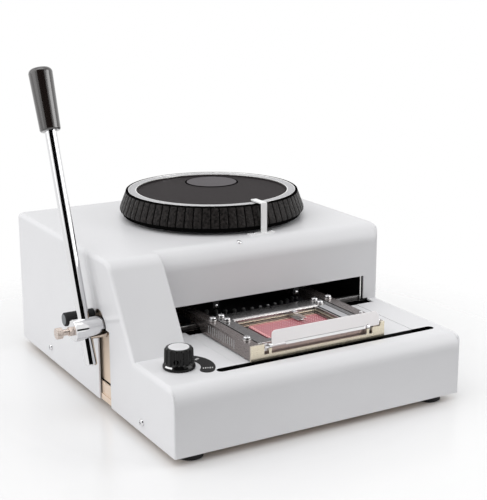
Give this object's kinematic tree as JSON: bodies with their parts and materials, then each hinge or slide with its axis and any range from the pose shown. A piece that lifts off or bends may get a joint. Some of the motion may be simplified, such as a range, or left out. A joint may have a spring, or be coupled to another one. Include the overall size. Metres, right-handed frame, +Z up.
{
  "type": "plastic card embosser",
  "caption": "Hand-operated plastic card embosser with a character dial, a pull lever and a sliding card carriage.",
  "frame": {"origin": "on the table plane, under the middle of the whole object's outline", "axes": "+Z up, -Y towards the operator, +X to the operator's right"},
  "size_m": [0.3682, 0.39, 0.3316],
  "materials": {
    "cover_paint": "fine satin enamel, light grey",
    "cream_plate": "cream enamel on plate",
    "cast_frame": "dark machined casting",
    "steel": "ground steel",
    "chrome": "polished plating",
    "brass": "plain turned brass",
    "black_plastic": "moulded, fine texture",
    "black_gloss": "smooth moulded",
    "rubber": "moulded rubber",
    "scale_aluminium": "satin anodised ring",
    "dark_metal": "blackened steel",
    "badge": "bare printed plate",
    "label": "printed label",
    "guide": "red sheet with a fine grid of dots"
  },
  "bodies": {
    "root": {"base_plate": "cream_plate", "feet": "rubber", "foot_screws": "steel", "left_frame": "cream_plate", "right_frame": "cream_plate", "inner_wall": "cream_plate", "upper_bridge": "cream_plate", "upper_press_head": "cast_frame", "lower_press_head": "cast_frame", "bushes": "brass", "spindle_bearings": "brass", "cover": "cover_paint", "cover_lugs": "cream_plate", "cover_screws": "chrome", "deck_table": "cover_paint", "window_guard": "dark_metal", "carriage_rail": "steel", "stop_stud": "steel", "stop_rubber": "rubber", "pointer": "chrome", "pointer_screws": "chrome", "knob_bush": "steel", "knob_label": "label", "spring_anchor": "steel", "drum_bracket": "steel", "detent_post": "steel", "return_spring": "steel"},
    "lever": {"lever_rod": "chrome", "lever_grip": "black_gloss", "lever_hub": "chrome", "thumb_screw": "brass", "lock_nut": "brass", "main_shaft": "steel", "main_gear": "steel", "spring_arm": "steel"},
    "upper_cam": {"upper_camshaft": "steel"},
    "lower_cam": {"lower_camshaft": "steel"},
    "ram_body": {"ram": "steel"},
    "anvil_body": {"anvil": "steel"},
    "dial": {"dial_rim": "black_plastic", "dial_scale_ring": "scale_aluminium", "dial_disc": "black_plastic", "dial_badge": "badge", "spindle": "steel", "index_wheel": "steel", "punch_wheel": "dark_metal", "punches": "steel", "die_wheel": "dark_metal", "dies": "steel"},
    "detent": {"detent_arm": "steel"},
    "carriage": {"carriage_bars": "dark_metal", "carriage_front": "cream_plate", "feed_rack": "steel", "bar_screws": "chrome"},
    "card_slide": {"card_frame": "steel", "frame_screws": "chrome", "guide_plate": "guide"},
    "flap": {"clamp_flap": "cover_paint"},
    "spacing": {"knob": "black_gloss"},
    "feed": {"feed_drum": "steel"}
  },
  "joints": [
    {"name": "lever_pull", "type": "hinge", "parent": "root", "child": "lever", "pos_m": [-0.15415, -0.036, 0.086], "axis": [1, 0, 0], "range_deg": [0, 75], "stiffness_Nm_per_rad": 0.5, "springref_deg": -11.46, "deforming": ["return_spring"]},
    {"name": "upper_cam_turn", "type": "hinge", "parent": "root", "child": "upper_cam", "pos_m": [0.04525, -0.0328, 0.13013], "axis": [1, 0, 0], "range_deg": [-118, 0]},
    {"name": "lower_cam_turn", "type": "hinge", "parent": "root", "child": "lower_cam", "pos_m": [0.04525, -0.0328, 0.04187], "axis": [1, 0, 0], "range_deg": [-118, 0]},
    {"name": "ram_press", "type": "slide", "parent": "root", "child": "ram_body", "axis": [0, 0, -1], "range_m": [0, 0.0039]},
    {"name": "anvil_press", "type": "slide", "parent": "root", "child": "anvil_body", "axis": [0, 0, 1], "range_m": [0, 0.0039]},
    {"name": "dial_turn", "type": "hinge", "parent": "root", "child": "dial", "pos_m": [0.04525, 0.0722, 0.1], "axis": [0, 0, 1], "continuous": true},
    {"name": "detent_swing", "type": "hinge", "parent": "root", "child": "detent", "pos_m": [0.12925, 0.1022, 0.12], "axis": [0, 0, 1], "range_deg": [0, 8], "stiffness_Nm_per_rad": 0.5, "springref_deg": -5.73},
    {"name": "carriage_slide", "type": "slide", "parent": "root", "child": "carriage", "axis": [1, 0, 0], "range_m": [-0.026, 0.049]},
    {"name": "card_slide_in", "type": "slide", "parent": "carriage", "child": "card_slide", "axis": [0, 1, 0], "range_m": [0, 0.1]},
    {"name": "flap_lift", "type": "hinge", "parent": "carriage", "child": "flap", "pos_m": [0.04525, -0.164, 0.0845], "axis": [1, 0, 0], "range_deg": [0, 95]},
    {"name": "spacing_turn", "type": "hinge", "parent": "root", "child": "spacing", "pos_m": [-0.10615, -0.142, 0.08], "axis": [0, 0, 1], "range_deg": [-40, 40]},
    {"name": "drum_turn", "type": "hinge", "parent": "root", "child": "feed", "pos_m": [0.04185, -0.165, 0.0365], "axis": [0, 1, 0], "range_deg": [-111, 209]}
  ],
  "couplings": [
    {"joint": "upper_cam_turn", "follows": "lever_pull", "ratio": -1.5652},
    {"joint": "lower_cam_turn", "follows": "lever_pull", "ratio": -1.5652},
    {"joint": "ram_press", "follows": "lever_pull", "m_per_rad": 0.002979},
    {"joint": "anvil_press", "follows": "lever_pull", "m_per_rad": 0.002979},
    {"joint": "drum_turn", "follows": "carriage_slide", "rad_per_m": 74.074}
  ]
}
